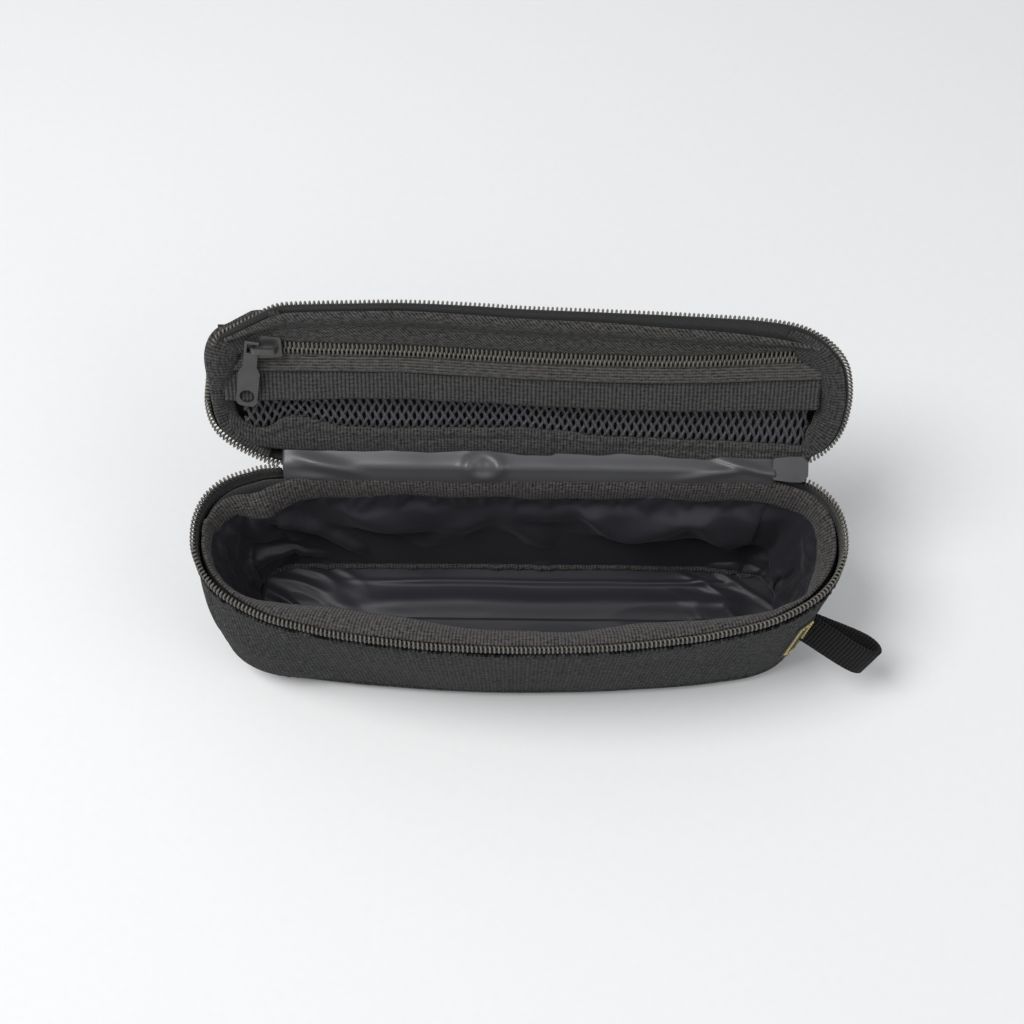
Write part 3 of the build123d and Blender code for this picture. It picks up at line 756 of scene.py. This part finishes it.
# Lining of the lid: up its inner side and across behind the pocket
lining_depth = LID_DEPTH - 3.4
inner_start = rim_place(-5.6, -1.7)
inner_knee = rim_place(-7.5, -1.2 + slack_out)
inner_points, inner_loop = shoulder(inner_start, inner_knee, inset + 1.6, lining_depth, 10)
lid_lining_points = np.concatenate([inner_points, crown(inner_loop, lining_depth, 18, 0.4)], 1)
lid_lining = cloth("lid_lining_sheet", lid_lining_points, satin_mat, 0.4, closed=True)
dress(lid_lining, "lid", "lining", "lid_lining")

# Zipper half of the lid: tape on the inner side of the coil, which shows only its heads along the far edge
lid_rows = run_between(~((loop_s < 6) & (loop_x > -78.6) & (loop_x < 93.6)))
tape_top = -1.3 + 2.8 * np.maximum(far_side, 0.8 * right_end)
tape_run = np.linspace(0, 1, 7)[None, :, None]
tape_first, tape_last = rim_place(tape_top, -1.15), rim_place(-7.0, -1.3)
tape_grid = tape_first[:, None] * (1 - tape_run) + tape_last[:, None] * tape_run
dress(cloth("main_tape_lid", tape_grid[lid_rows], tape_mat, 0.5), "lid", "zip_tape", "main_tape_upper")
high_coil = coil("main_coil_lid", rim_centre[lid_rows], coil_way[lid_rows], tooth_way[lid_rows], 0.5)
dress(high_coil, "lid", "zip_coil", "main_chain_upper")

# Pocket edges as the photo has them, distances from the hinge along the lid
across_x = np.linspace(-95.0, 96.2, 226)


def edge_line(points):
    """A smooth edge across the pocket through a few places."""
    curve = smooth_line(points, 400)
    return np.interp(across_x, curve[:, 0], curve[:, 1])


chain_s = edge_line([
    (-96, 45.4), (-82, 45.2), (-70, 44.2), (-36, 43.4), (-8, 41.8), (20, 40.6), (46, 40.2), (66, 40.9),
    (82, 42.2), (97, 42.8),
])
tape_low_s = edge_line([
    (-96, 36.2), (-71, 36.2), (-36, 36.0), (0, 33.8), (46, 32.7), (88, 34.4), (97, 34.8),
])
band_low_s = edge_line([
    (-96, 25.6), (-72, 25.9), (-37, 26.7), (0, 24.6), (46, 22.8), (89, 23.6), (97, 24.0),
])
header_high_s = edge_line([
    (-96, 48.6), (-86, 57.0), (-69, 60.4), (-36, 60.2), (0, 57.7), (24, 56.6), (45, 54.9), (62, 53.6),
    (80, 51.0), (97, 47.2),
])
hem_high_s = edge_line([
    (-98, 21.5), (-93.3, 17.6), (-87, 13.2), (-82, 13.7), (-77.4, 17.4), (-72.5, 18.4), (-66, 16.2),
    (-55.7, 14.2), (-37, 13.6), (-21, 14.6), (0, 14.0), (12, 12.6), (30, 10.4), (48, 9.6), (70, 8.6),
    (97, 7.0),
])
hem_low_s = edge_line([
    (-98, 14.6), (-92, 9.6), (-86, 6.8), (-80, 5.8), (-73, 5.5), (-37, 4.7), (0, 4.2), (48, 2.2),
    (82, 0.5), (97, 0.3),
])
far_half = lid_loop[loop_s > 36]
far_half = far_half[np.argsort(far_half[:, 0])]
far_rim_s = np.interp(across_x, far_half[:, 0], far_half[:, 1])
header_high_s = np.minimum(header_high_s, far_rim_s - 1.6)


def pocket_sheet(low, high, count, front, rear, ripple=0.0, seed=0.0):
    """Grid across the pocket between two edges, front and rear being its depths at them."""
    v = np.linspace(0, 1, count)[None]
    dist = low[:, None] + (high - low)[:, None] * v
    x = np.broadcast_to(across_x[:, None], dist.shape)
    rise = front + (rear - front) * v
    rise = rise + ripple * wave(x, dist * 1.8, 16, seed) + 0.5 * ripple * wave(x, dist, 6, seed + 1)
    return lid(x, dist, rise)


def pressed(points, amounts):
    """Moves a grid of the pocket back from the viewer by an amount for each point."""
    return points + amounts[..., None] * lid_way(0, 0, 1)


def along_pocket(y, scale, seed):
    return wave(across_x, y, scale, seed)[:, None]


header_v = np.linspace(0, 1, 22)[None]
header_top = np.maximum(header_high_s, chain_s + 3.6)
header_points = pocket_sheet(chain_s + 2.9, header_top, 22, 2.6, -0.9, 0.15, 22.0)
valley = 0.50 + 0.10 * along_pocket(0, 60, 61.0)
crest = 0.76 + 0.12 * along_pocket(3, 70, 62.0)
header_folds = 1.0 * bell(header_v - valley, 0.15) * (0.7 + 0.6 * along_pocket(8, 45, 63.0))
header_folds = header_folds + 0.7 * ease(header_v, 0.9, 1.0)
header_folds = header_folds - 0.8 * bell(header_v - crest, 0.17) * (0.8 + 0.8 * along_pocket(5, 38, 64.0))
header = cloth("header", pressed(header_points, header_folds)[3:-3], twill_mat, 0.9)
dress(header, "lid", "twill", "pocket_header")
tape_up = cloth("pocket_tape_far", pocket_sheet(chain_s + 1.7, chain_s + 6.6, 5, 3.6, 3.9), tape_mat, 0.5)
dress(tape_up, "lid", "zip_tape", "pocket_tape_upper")
tape_down_points = pocket_sheet(tape_low_s, chain_s - 1.7, 7, 1.9, 3.4, 0.25, 65.0)
tape_down = cloth("pocket_tape_near", tape_down_points, near_tape_mat, 0.5)
dress(tape_down, "lid", "zip_tape", "pocket_tape_lower")
band_points = pocket_sheet(band_low_s, band_low_s + 13.6, 14, 0.5, 3.9, 0.5, 24.0)
band = cloth("band", band_points, band_mat, 0.8)
dress(band, "lid", "grosgrain", "pocket_band")

hem_v = np.linspace(0, 1, 12)[None]
hem_points = pocket_sheet(hem_low_s, hem_high_s, 12, 1.9, 2.6, 0.7, 27.0)
overlap = 0.7 * ease(across_x, 10.4, 11.6)[:, None] - 0.4
hem_folds = overlap - 1.3 * np.sin(math.pi * hem_v) - 0.9 * bell(hem_v - 0.86, 0.07)
hem_folds = hem_folds + 0.7 * bell(hem_v - 0.62, 0.08) * (0.6 + along_pocket(2, 30, 66.0))
hem = cloth("hem_ribbon", pressed(hem_points, hem_folds), ribbon_mat, 1.0)
dress(hem, "lid", "ribbon", "pocket_hem_ribbon")


def end_binding(name, rows, node_name, rolled):
    """Ribbon sewn round an end of the lid, which rolls out over the coil where rolled is above nought."""
    count = len(rows)
    step = np.arange(count)
    w = np.linspace(0, 1, 12)[None]
    fade = ease(step, 0, 0.16 * count) * ease(step[::-1], 0, 0.16 * count)
    roll = rolled * ease(loop_s[rows], 22, 44) * ease(step, 0, 0.12 * count)
    c, t, side = rim_centre[rows], tooth_way[rows], coil_way[rows]
    start = c + t * (0.3 + 1.2 * roll)[:, None] + side * (-1.8 + 3.4 * roll)[:, None]
    width = 2.6 + 5.0 * fade + 0.9 * wave(step * 1.1, 0, 14, 33.0)
    end = c - out_way[rows] * width[:, None] - t * (2.6 - 1.2 * roll)[:, None]
    top = t * (1.1 + 0.3 * roll)[:, None] - side * 0.3
    grid = start[:, None] * (1 - w[..., None]) + end[:, None] * w[..., None]
    grid = grid + top[:, None] * np.sin(math.pi * w**0.8)[..., None]
    pucker = wave(step[:, None] * 1.3, w * 5, 7, 31.0) * 0.55 + wave(step[:, None], w * 7, 16, 35.0) * 0.7
    grid = grid + t[:, None] * (pucker * np.sin(math.pi * np.clip(w, 0.04, 0.96)))[..., None]
    dress(cloth(name, grid, ribbon_mat, 1.0), "lid", "ribbon", node_name)


right_rows = run_between((loop_x > 84) & (loop_s > 2.0))
left_rows = run_between((loop_x < -74) & (loop_s > 1.0))
end_binding("end_ribbon_right", right_rows, "pocket_end_ribbon_right", 0.0)
end_binding("end_ribbon_left", left_rows, "pocket_end_ribbon_left", 1.0)


def pocket_coil(name, sign, phase, reach):
    """One half of the pocket's coil, parted from the other at the slider."""
    x = np.linspace(-89.0, 91.5, 420)
    spread = 1.12 + 3.0 * ease(-x, 81.5, 89.0)
    centre = lid(x, np.interp(x, across_x, chain_s) + sign * spread, 3.4)
    side = np.tile(lid_way(0, 0, -1), (len(x), 1))
    up = np.tile(lid_way(0, -sign, 0), (len(x), 1))
    return coil(name, centre, side, up, phase, reach, 0.37)


dress(pocket_coil("pocket_coil_near", -1, 0.0, 1.0), "lid", "zip_coil", "pocket_chain_lower")
dress(pocket_coil("pocket_coil_far", 1, 0.5, 1.55), "lid", "zip_coil", "pocket_chain_upper")


def make_net():
    """Coarse net between the band and the hem: crossing strands with a knot where they meet."""
    left, right, cell, rows = -91.0, 95.0, 2.75, 7
    vertices, faces = [], []
    out = lid_way(0, 0, -1)

    def strand(line, radii):
        b = np.cross(unit(np.gradient(line, axis=0)), out)
        faces.extend(ring_faces(len(vertices), len(line), 6))
        for p, bb, r in zip(line, b, radii):
            for a in np.linspace(0, 2 * math.pi, 6, endpoint=False):
                vertices.append(p + r * (math.cos(a) * out * 0.8 + math.sin(a) * bb))

    def place(x, share, lift):
        low = np.interp(x, across_x, hem_high_s) - 2.2
        high = np.interp(x, across_x, band_low_s) + 2.4
        rise = 4.3 + 2.9 * share**2 + lift + 0.5 * wave(x, share * 12, 17, 41.0)
        return lid(x, low + (high - low) * share, rise)

    steps = np.arange(0, rows, 0.5)
    for way in (1, -1):
        for k in range(-rows, int((right - left) / cell) + rows):
            x = left + (k + way * steps * 0.5) * cell
            inside = (x > left) & (x < right)
            if inside.sum() < 3:
                continue
            turn = np.cos(math.pi * steps[inside])
            line = place(x[inside], steps[inside] / (rows - 0.5), way * 0.34 * turn)
            strand(line, 0.44 + 0.40 * turn**2)
    points = np.array(vertices)
    return build("pocket_net", points, faces, mesh_mat, np.c_[points[:, 0], points[:, 2]])


dress(make_net(), "lid", "mesh", "pocket_mesh")


# Hinge
def across(left_profile, right_profile, x0, x1, columns, rows, folds):
    """A strip along the hinge whose profile goes from one to another, with folds raised off it."""
    left, right = smooth_line(left_profile, rows), smooth_line(right_profile, rows)
    x = np.linspace(x0, x1, columns)[:, None]
    share = np.linspace(0, 1, columns)[:, None, None]
    profile = left[None] * (1 - share) + right[None] * share
    v = np.linspace(0, 1, rows)[None]
    lift = folds(x, v) * np.sin(math.pi * v) ** 0.7
    y, z = profile[..., 0] - lift * 0.62, profile[..., 1] + lift * 0.78
    return np.stack([np.broadcast_to(x, lift.shape), y, z], -1)


def satin_folds(x, v):
    """Soft folds of the satin strip, a dimple left of its middle and a raised right end."""
    lift = 1.1 * wave(x, v * 16, 38, 51.0) + 0.3 * wave(x, v * 12, 12, 52.0)
    up = v * 14
    lift = lift + fold(x, up, (-76, 10), (-52, 4), 1.8, 2.2) + fold(x, up, (-76, 3), (-62, 2), 1.0, 1.2)
    dimple = np.hypot((x + 12) / 5.2, (v - 0.5) / 0.30)
    lift = lift + 1.5 * np.exp(-((dimple - 1) ** 2) / 0.16) - 0.8 * np.exp(-(dimple**2) / 0.3)
    lift = lift + fold(x, up, (52, 3), (74, 8), 1.6, 1.6) + fold(x, up, (64, 12), (86, 5), 1.3, 2.4)
    return lift + 1.6 * ease(x, 72, 84) * (1 - v)


def shell_folds(x, v):
    return 0.4 * wave(x, v * 24, 13, 55.0)


def lid_yz(s, h):
    return tuple(lid(0, s, h)[1:])


inner_left = [(24.5, 54.4), (24.9, 57.2), (26.1, 60.2), (27.4, 62.4), lid_yz(5.4, 1.6), lid_yz(8.0, 2.8)]
inner_right = [(24.5, 54.4), (24.9, 57.2), (25.9, 59.9), (26.8, 61.4), lid_yz(3.0, 1.2), lid_yz(5.2, 2.8)]
satin_strip_points = across(inner_left, inner_right, -78.5, 84.6, 190, 22, satin_folds)
# The strip wears the lighter copy of the lining satin, which is painted light
satin_strip_painted_light = cloth("spine_satin", satin_strip_points, lit_satin_mat, 0.4)
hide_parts("spine_lining")
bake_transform(satin_strip_painted_light)

outer_low = [(28.9, 54.2), (29.4, 57.0), (29.9, 59.4)]
outer_profile = outer_low + [lid_yz(2.0, 1.0), lid_yz(4.4, 2.4), lid_yz(5.2, 3.6)]
outer_strip_points = across(outer_profile, outer_profile, -78.5, 84.0, 120, 12, shell_folds)
outer_strip = cloth("spine_outer", outer_strip_points, shell_mat, 0.8)
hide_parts("spine_panel")
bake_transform(outer_strip)


# Loop and patch
def make_loop():
    """Webbing folded to a flat loop that points out and down from the right end."""
    steps, half_width = 70, 5.5
    root = np.array([97.0, -15.6, 30.5])
    heading = np.array([21, -7.4, -8.7])
    heading = heading / np.linalg.norm(heading)
    width = np.array([-5, -3, -9.3])
    width = width - heading * (width @ heading)
    width /= np.linalg.norm(width)
    apart = np.cross(heading, width)
    half = [(0, 0.9), (5, 1.6), (11, 2.6), (17, 3.4), (22, 3.4), (25.0, 2.0), (25.8, 0)]
    path = smooth_line(half + [(a, -b) for a, b in reversed(half[:-1])], steps)
    a, b, w = path[:, :1, None], path[:, 1:, None], np.linspace(-half_width, half_width, 9)[None, :, None]
    return cloth("loop_webbing", root + heading * a + apart * b + width * w, web_mat, 1.3)


dress(make_loop(), "tub", "webbing", "loop_front_leg", "loop_rear_leg")

patch_rows = np.where((mouth_x > 93.0) & (mouth_x < 98.6) & (mouth_y < 0))[0]
patch_grid = tub_wall(-1.9, np.linspace(18, 42, 14), patch_rows)
dress(cloth("patch", patch_grid, patch_mat, 0.7), "tub", "patch", "corner_patch")
edge_parts = [patch_grid[1:-1, 1], patch_grid[-2, 1:-1], patch_grid[-2:0:-1, -2], patch_grid[1, -2:0:-1]]
patch_edge = np.vstack(edge_parts)
edge_normal = np.tile([0.68, -0.73, 0.0], (len(patch_edge), 1))
gold_line = patch_edge + edge_normal * 0.55
gold_edge = stitches("patch_stitches", gold_line, edge_normal, gold_mat, 1.7, length=1.5, radius=0.42)
dress(gold_edge, "tub", "patch")

# Sliders
for part_name, metal in (
    ("main_slider_body", plain_metal),
    ("main_pull_tab", dark_metal),
    ("pocket_slider_body", dark_metal),
    ("pocket_pull_tab", dark_metal),
):
    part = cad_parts[part_name]
    part.data.materials.clear()
    part.data.materials.append(metal)
    edges = part.modifiers.new("soft_edges", "BEVEL")
    edges.width = 0.28 * MM
    edges.segments = 2
    edges.limit_method = "ANGLE"


# Stage
def stage():
    material, tree, shader = new_material("floor")
    spot = tree.nodes.new("ShaderNodeTexCoord").outputs["Object"]
    value = scaled(tree, speckle(tree, spot, 300.0, 3.0), 0.03, 0.80)
    grey = node(tree, "ShaderNodeCombineXYZ", value, value, value)
    tree.links.new(grey.outputs[0], shader.inputs["Base Color"])
    shader.inputs["Roughness"].default_value = 0.9
    mesh = bpy.data.meshes.new("floor")
    size = 6.0
    corners = [(-size, -size, 0), (size, -size, 0), (size, size, 0), (-size, size, 0)]
    mesh.from_pydata(corners, [], [(0, 1, 2, 3)])
    mesh.materials.append(material)
    floor = bpy.data.objects.new("floor", mesh)
    bpy.context.scene.collection.objects.link(floor)
    floor.location.z = -0.4 * MM


def lamp(name, place, target, size, power):
    data = bpy.data.lights.new(name, "AREA")
    data.shape = "DISK"
    data.size = size
    data.energy = power
    obj = bpy.data.objects.new(name, data)
    obj.location = place
    obj.rotation_euler = (Vector(target) - Vector(place)).to_track_quat("-Z", "Y").to_euler()
    bpy.context.scene.collection.objects.link(obj)


def camera():
    """The photograph's view: looking down at the pouch, with a slight roll."""
    elevation, roll, distance = math.radians(62.1), math.radians(0.5), 0.5588
    focal_pixels, frame_pixels, sensor = 1500, 1024, 36
    back = Vector((0, -math.cos(elevation), math.sin(elevation)))
    up = Vector((0, math.sin(elevation), math.cos(elevation)))
    right = Vector((1, 0, 0))
    x_axis = right * math.cos(roll) + up * math.sin(roll)
    y_axis = up * math.cos(roll) - right * math.sin(roll)
    data = bpy.data.cameras.new("camera")
    data.lens = sensor * focal_pixels / frame_pixels
    data.sensor_width = sensor
    data.clip_start = 0.01
    obj = bpy.data.objects.new("camera", data)
    place = Vector((-0.0024, 0.0429, 0)) + back * distance
    turned = Matrix((x_axis, y_axis, back)).transposed().to_4x4()
    obj.matrix_world = Matrix.Translation(place) @ turned
    bpy.context.scene.collection.objects.link(obj)
    bpy.context.scene.camera = obj


stage()
lamp("key", (-0.5, -0.1, 1.05), (0, 0.02, 0.03), 0.6, 9.6)
lamp("fill", (0.75, -0.35, 0.8), (0, 0, 0.03), 0.9, 3.0)
world = bpy.data.worlds.new("world")
world.use_nodes = True
world.node_tree.nodes["Background"].inputs[0].default_value = (0.85, 0.87, 0.9, 1)
world.node_tree.nodes["Background"].inputs[1].default_value = 0.45
bpy.context.scene.world = world
bpy.context.scene.view_settings.view_transform = "Standard"
camera()
